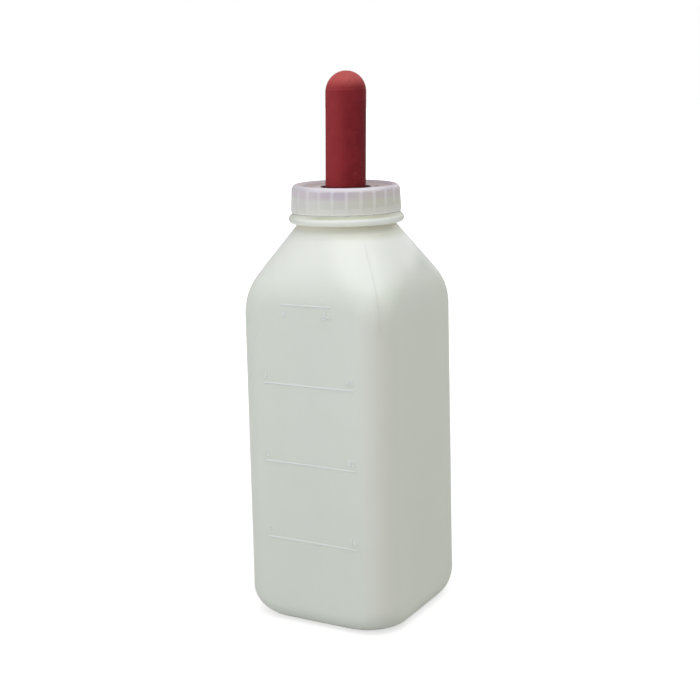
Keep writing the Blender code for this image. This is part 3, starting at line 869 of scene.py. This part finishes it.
# screw cap, and how it and the nipple sit askew on the neck
askew = {"slant": (-0.0195, 0.0143), "drop": 0.32, "from": 256.0, "fade": 12.0}
cap = {
    "foot": 251.0, "height": 17.0, "wall": 1.6, "taper": 0.8, "edgeRound": 2.7, "bevel": 0.4,
    "edgeWidth": 2.5, "skirtInner": 31.8, "rim": 5.2, "rimFlat": 0.2, "slope": 3.4, "recess": 1.6,
    "disc": 1.6, "hole": 15.4, "holeRound": 0.3, "ribs": 24, "ribWidth": 2.9, "ribEdge": 0.75,
    "ribHeight": 0.3, "ribRunOut": 0.9, "threadFoot": 252.9, "threadTurns": 1.6, "threadCrest": 30.55,
    "threadFrom": 0.4, "threadTo": 2.6, "airHole": 1.0, "airCircle": 18.8, "airAngle": 29.0,
    "edgeSteps": 20, "slopeSteps": 16, "settleUnder": 0.4, "settleOver": 10.0}


def cutAirHole(obj, radius, low, high, clear=1.0):  # a small round hole straight down through a disc
    finishMesh(obj)
    bm = bmesh.new()
    bmesh.ops.create_cone(bm, cap_ends=True, segments=32, radius1=radius * mm, radius2=radius * mm,
                          depth=(high - low + 2 * clear) * mm)
    side, circle = math.radians(cap["airAngle"]), cap["airCircle"]
    middle = (circle * math.cos(side) * mm, circle * math.sin(side) * mm, (low + high) / 2 * mm)
    bmesh.ops.translate(bm, verts=bm.verts, vec=middle)
    tool = newObject("drill", bpy.data.meshes.new("drill"))
    bm.to_mesh(tool.data)
    bm.free()
    name = obj.name
    obj.name = name + "Blank"
    cut = obj.modifiers.new("hole", "BOOLEAN")
    cut.object, cut.operation, cut.solver = tool, "DIFFERENCE", "EXACT"
    made = plainMesh(obj, name)
    bpy.data.objects.remove(tool)
    return made


def settle(obj, low, high, top):  # what stands above low sits askew, and in full from high to top
    for corner in obj.data.vertices:
        z = corner.co.z / mm
        share = clamp((z - low) / (high - low)) * clamp((top + askew["fade"] - z) / askew["fade"])
        slant = corner.co.x * askew["slant"][0] + corner.co.y * askew["slant"][1]
        corner.co.z += share * (slant - askew["drop"] * mm)


def capRows(c):
    inner, outer, bevel = c["skirtInner"], c["skirtInner"] + c["wall"], c["bevel"]

    def skirt(height, radius):
        return radius - c["taper"] * height / c["height"]

    edgeHeight = c["height"] - c["edgeRound"]
    edgeRadius = skirt(edgeHeight, outer)
    discTop = c["height"] - c["recess"]
    discUnder = discTop - c["disc"]
    channelTop = c["height"] - c["disc"]
    channelInner = edgeRadius - c["rim"] + c["wall"]
    outside = spread([(outer - bevel, 0.0), (skirt(bevel, outer), bevel)], 0.25)
    runOn(outside, 0.3, (edgeRadius, edgeHeight))
    for i in range(1, c["edgeSteps"] + 1):
        turned = math.radians(90 * i / c["edgeSteps"])
        outside.append((edgeRadius - c["edgeWidth"] * (1 - math.cos(turned)),
                        edgeHeight + c["edgeRound"] * math.sin(turned)))
    crest = edgeRadius - c["edgeWidth"] - c["rimFlat"]
    top = []
    for i in range(c["slopeSteps"] + 1):  # the rim falls to the disc in a soft slope
        share = i / c["slopeSteps"]
        top.append((crest - c["slope"] * share, c["height"] - c["recess"] * smooth(share)))
    hole, holeRound = c["hole"], c["holeRound"]
    runOn(top, 0.8, (hole + holeRound, discTop))
    top += arc((hole + holeRound, discTop - holeRound), holeRound, 90, 180, 4)[1:]
    runOn(top, 0.4, (hole, discUnder))
    inside = spread([top[-1], (channelInner, discUnder), (channelInner, channelTop),
                     (skirt(channelTop, inner), channelTop)], 1.0)[1:]
    runOn(inside, 0.2, (skirt(bevel, inner), bevel))
    runOn(inside, 0.3, (inner + bevel / 2, 0.0))
    rows = []
    for i, (r, z) in enumerate(outside + top + inside):
        row = station(r, r, c["foot"] + z)
        if i < len(outside):
            runOut = clamp((edgeHeight + c["ribRunOut"] - z) / c["ribRunOut"])
            row["rib"] = clamp(z / bevel) * smooth(runOut)
        elif i >= len(outside + top) and r > channelInner + bevel:
            if bevel + c["threadFrom"] < z < discUnder - c["threadTo"]:
                row["thread"] = c["threadCrest"] - r
        rows.append(row)
    rows.append(dict(rows[0]))
    return rows


screwCap = loft("screwCap", capRows(cap), capPlastic, {
    **thread, "Columns": 384, "Crowding": -0.45, "Crowds": cap["ribs"], "Rib Count": cap["ribs"],
    "Rib Width": cap["ribWidth"] * mm, "Rib Edge": cap["ribEdge"] * mm, "Rib Height": cap["ribHeight"] * mm,
    "Thread Foot": (cap["threadFoot"] - bottle["threadLead"] / 2) * mm, "Thread Turns": cap["threadTurns"]})
discTop = cap["foot"] + cap["height"] - cap["recess"]
discUnder = discTop - cap["disc"]
screwCap = cutAirHole(screwCap, cap["airHole"], discUnder, discTop)
settle(screwCap, askew["from"], discUnder - cap["settleUnder"], discTop + cap["settleOver"])
finishMesh(screwCap)
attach(screwCap, "cap")
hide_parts("cap")


# rubber nipple
nipple = {
    "foot": 262.3, "teat": 12.3, "length": 70.69, "wall": 3.0, "rootRound": 2.6, "tipHole": 1.2,
    "flange": 2.0, "flangeRound": 0.4, "flangeRadius": 30.78, "rimInner": 29.49, "rimTop": 3.8,
    "rimRound": 0.2, "rimFillet": 0.3, "band": 0.08, "bandAngles": (4.4, 5.6), "airHole": 0.8,
    "settleOver": 4.0, "leanFrom": 267.0, "lean": (0.0214, 0.0120)}


def nippleRows(n):
    teat, band, flange = n["teat"], n["band"], n["flange"]
    bore = teat - n["wall"]
    dome = flange + n["length"] - teat
    tipAngle = math.degrees(math.acos(n["tipHole"] / teat))
    innerTip = math.degrees(math.acos(n["tipHole"] / bore))
    rimTop, edge, edgeRound = n["rimTop"], n["flangeRadius"] - n["flangeRound"], n["flangeRound"]
    points = spread([(bore, 0.0), (edge, 0.0)], 2.0)
    points += arc((edge, edgeRound), edgeRound, -90, 0, 4)[1:]
    points += arc((edge, rimTop - edgeRound), edgeRound, 0, 90, 4)
    rimInner, fillet = n["rimInner"], n["rimFillet"]
    points += [(rimInner + n["rimRound"], rimTop), (rimInner, rimTop - n["rimRound"]),
               (rimInner, flange + fillet), (rimInner - fillet, flange)]
    root = (teat + n["rootRound"], flange + n["rootRound"])
    runOn(points, 1.5, (root[0], flange))
    points += arc(root, n["rootRound"], 270, 180, 14)[1:]
    runOn(points, 1.0, (teat, dome))
    bandFoot, bandTop = n["bandAngles"]  # a small step where two parts of the mould met
    points += arc((0.0, dome), teat, 0, bandFoot, 3)[1:]
    points += arc((0.0, dome + band), teat - band, bandTop, tipAngle, 36)
    points += arc((0.0, dome), bore, innerTip, 0, 20)
    runOn(points, 3.0, points[0])
    return [station(r, r, n["foot"] + z) for r, z in points]


rubberNipple = loft("rubberNipple", nippleRows(nipple), nippleRubber, {"Columns": 128})
flangeTop = nipple["foot"] + nipple["flange"]
rubberNipple = cutAirHole(rubberNipple, nipple["airHole"], nipple["foot"], flangeTop)
settle(rubberNipple, nipple["foot"], flangeTop, flangeTop + nipple["settleOver"])
for corner in rubberNipple.data.vertices:  # the soft teat leans a little to one side
    rise = max(0.0, corner.co.z - nipple["leanFrom"] * mm)
    corner.co.x += nipple["lean"][0] * rise
    corner.co.y += nipple["lean"][1] * rise
finishMesh(rubberNipple)
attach(rubberNipple, "nipple")
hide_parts("nipple")


# floor, light and camera
studio = {
    "floorColor": (0.6, 0.6, 0.6, 1), "floorSize": 30.0, "floorRoughness": 0.9, "floorGlow": 0.6,
    "glossyShare": 0.4, "nearFloor": 0.35, "farFloor": 0.9, "room": 0.51, "aim": (0, 0, 0.16),
    "lamps": (  # name, place, width, depth, power
        ("keyLamp", (-0.80, -1.35, 0.60), 0.9, 0.9, 3.8),
        ("frontLamp", (0.55, -1.70, 0.75), 0.9, 0.9, 2.7),
        ("topLamp", (0.33, -0.33, 1.36), 1.6, 1.0, 10.0),
        ("backLamp", (0.10, 1.50, 0.9), 1.0, 1.0, 3.0))}
view = {"place": (0.38345, -0.68219, 0.3202), "turn": 29.32, "down": 11.25, "roll": -1.35, "lens": 65.79}


def makeFloor(values):
    mesh = bpy.data.meshes.new("floor")
    size = values["floorSize"]
    corners = [(-size, -size, 0), (size, -size, 0), (size, size, 0), (-size, size, 0)]
    mesh.from_pydata(corners, [], [(0, 1, 2, 3)])
    material, tree, shader = newMaterial("floorWhite", {
        "Base Color": values["floorColor"], "Roughness": values["floorRoughness"],
        "Specular IOR Level": 0.0, "Emission Color": (1, 1, 1, 1)})
    seen = addNode(tree, "ShaderNodeLightPath").outputs
    glossy = times(tree, seen["Is Glossy Ray"], values["glossyShare"])
    straight = calc(tree, "MAXIMUM", seen["Is Camera Ray"], glossy)
    away = vectorCalc(tree, "LENGTH", "Value", addNode(tree, "ShaderNodeTexCoord").outputs["Object"])
    glow = ramp(tree, away, values["nearFloor"], values["farFloor"], values["floorGlow"], 1.0)
    feed(tree, shader["Emission Strength"], times(tree, straight, glow))
    mesh.materials.append(material)
    floor = newObject("floor", mesh)


def makeWorld(values):
    world = bpy.data.worlds.new("studio")
    scene.world = world
    world.use_nodes = True
    tree = world.node_tree
    background = tree.nodes["Background"].inputs
    seen = addNode(tree, "ShaderNodeLightPath").outputs
    straight = calc(tree, "MAXIMUM", seen["Is Camera Ray"], seen["Is Transmission Ray"])
    strength = timesPlus(tree, straight, 1.0 - values["room"], values["room"])
    background["Color"].default_value = (1, 1, 1, 1)
    feed(tree, background["Strength"], strength)


def makeLamp(name, place, width, depth, power):  # its width lies across the camera's view
    lamp = bpy.data.lights.new(name, "AREA")
    lamp.shape = "RECTANGLE"
    lamp.size, lamp.size_y = width, depth
    lamp.energy = power
    back = (Vector(place) - Vector(studio["aim"])).normalized()
    turn = math.radians(view["turn"])
    across = Vector((math.cos(turn), math.sin(turn), 0))
    across = (across - back * across.dot(back)).normalized()
    turned = Matrix((across, back.cross(across), back)).transposed().to_4x4()
    newObject(name, lamp).matrix_world = Matrix.Translation(place) @ turned


def makeCamera(values):
    camera = bpy.data.cameras.new("photoCamera")
    camera.lens = values["lens"]
    camera.sensor_width = 36
    obj = newObject("photoCamera", camera)
    obj.location = values["place"]
    turn, tilt, roll = (math.radians(a) for a in (values["turn"], 90 - values["down"], values["roll"]))
    obj.rotation_euler = (Matrix.Rotation(turn, 3, "Z") @ Matrix.Rotation(tilt, 3, "X")
                          @ Matrix.Rotation(roll, 3, "Z")).to_euler()
    scene.camera = obj


makeFloor(studio)
makeWorld(studio)
for lampValues in studio["lamps"]:
    makeLamp(*lampValues)
makeCamera(view)
scene.view_settings.view_transform = "Standard"
print("floor, light and camera ready")
